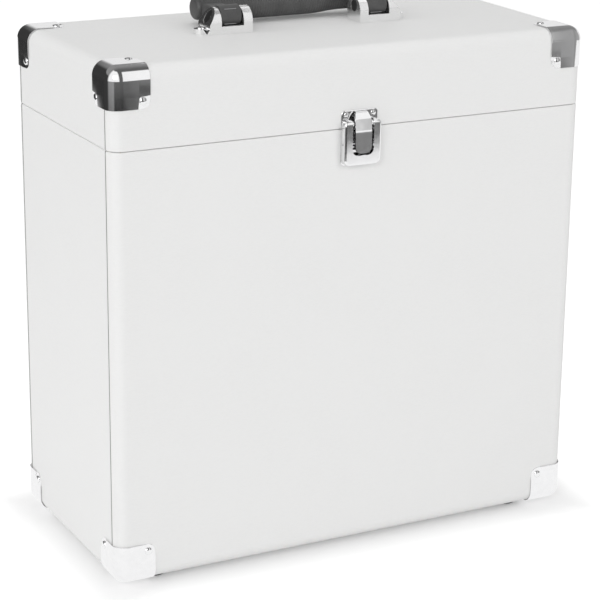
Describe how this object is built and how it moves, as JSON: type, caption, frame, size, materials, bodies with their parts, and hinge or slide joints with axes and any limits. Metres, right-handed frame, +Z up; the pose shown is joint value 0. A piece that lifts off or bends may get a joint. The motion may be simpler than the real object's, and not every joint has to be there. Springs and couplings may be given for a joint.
{
  "type": "record carrying case",
  "caption": "Upright hard carrying case for 12-inch records: hinged lid, folding top handle, front draw latch, metal corner caps and rubber feet.",
  "frame": {"origin": "on the ground under the middle of the closed case, in the plane of the feet's undersides", "axes": "+Z up, +X along the case's width to the right seen from the latch side, +Y to the hinge side at the back; the latch faces -Y"},
  "size_m": [0.3688, 0.1892, 0.3886],
  "materials": {
    "leathercloth": "off-white embossed leathercloth, satin",
    "board_wood": "plain plywood, sawn edges",
    "lining_paper": "dark grey flock lining",
    "rim_strip": "black stained strip, matt",
    "foot_rubber": "black, matt",
    "chrome_plate": "bright chrome plate on pressed steel",
    "nickelled_steel": "nickel plated steel",
    "plain_steel": "plain drawn steel",
    "grip_black": "black moulded plastic with a fine ribbed grain",
    "pin_black": "black lacquered steel, satin"
  },
  "bodies": {
    "case": {"body_back_board": "board_wood", "body_back_cover": "leathercloth", "body_bottom_board": "board_wood", "body_front_board": "board_wood", "body_front_cover": "leathercloth", "body_left_board": "board_wood", "body_lining": "lining_paper", "body_right_board": "board_wood", "body_wrap_cover": "leathercloth", "feet": "foot_rubber", "foot_screws": "nickelled_steel", "hinge_body_screws": "nickelled_steel", "hinge_leaf_body_left": "nickelled_steel", "hinge_leaf_body_right": "nickelled_steel", "hinge_pins": "plain_steel", "latch_base": "chrome_plate", "latch_base_rivets": "chrome_plate", "latch_lever_pins": "plain_steel", "lower_corner_caps": "chrome_plate", "lower_corner_rivets": "chrome_plate", "rim_liner": "rim_strip"},
    "lid": {"handle_bracket_rivets": "chrome_plate", "handle_bracket_screws": "chrome_plate", "handle_brackets": "chrome_plate", "handle_pivot_pins": "pin_black", "hinge_leaf_lid_left": "nickelled_steel", "hinge_leaf_lid_right": "nickelled_steel", "hinge_lid_screws": "nickelled_steel", "latch_keeper": "chrome_plate", "latch_keeper_rivets": "chrome_plate", "lid_back_board": "board_wood", "lid_back_cover": "leathercloth", "lid_front_board": "board_wood", "lid_front_cover": "leathercloth", "lid_left_board": "board_wood", "lid_lining": "lining_paper", "lid_right_board": "board_wood", "lid_top_board": "board_wood", "lid_wrap_cover": "leathercloth", "upper_corner_caps": "chrome_plate", "upper_corner_rivets": "chrome_plate"},
    "handle": {"handle_core": "plain_steel", "handle_grip": "grip_black"},
    "lever": {"latch_lever": "chrome_plate", "latch_link_pin": "plain_steel"},
    "hook": {"latch_hook": "chrome_plate"}
  },
  "joints": [
    {"name": "lid_hinge", "type": "hinge", "parent": "case", "child": "lid", "pos_m": [0, 0.091, 0.3115], "axis": [-1, 0, 0], "range_deg": [0, 180]},
    {"name": "handle_swing", "type": "hinge", "parent": "lid", "child": "handle", "pos_m": [0, 0, 0.3786], "axis": [1, 0, 0], "range_deg": [0, 180]},
    {"name": "lever_swing", "type": "hinge", "parent": "case", "child": "lever", "pos_m": [0, -0.092, 0.3153], "axis": [-1, 0, 0], "range_deg": [0, 108]},
    {"name": "hook_swing", "type": "hinge", "parent": "lever", "child": "hook", "pos_m": [0, -0.0917, 0.3014], "axis": [-1, 0, 0], "range_deg": [-124.5, 0]}
  ],
  "couplings": [
    {"joint": "hook_swing", "follows": "lever_swing", "ratio": -1.15}
  ]
}
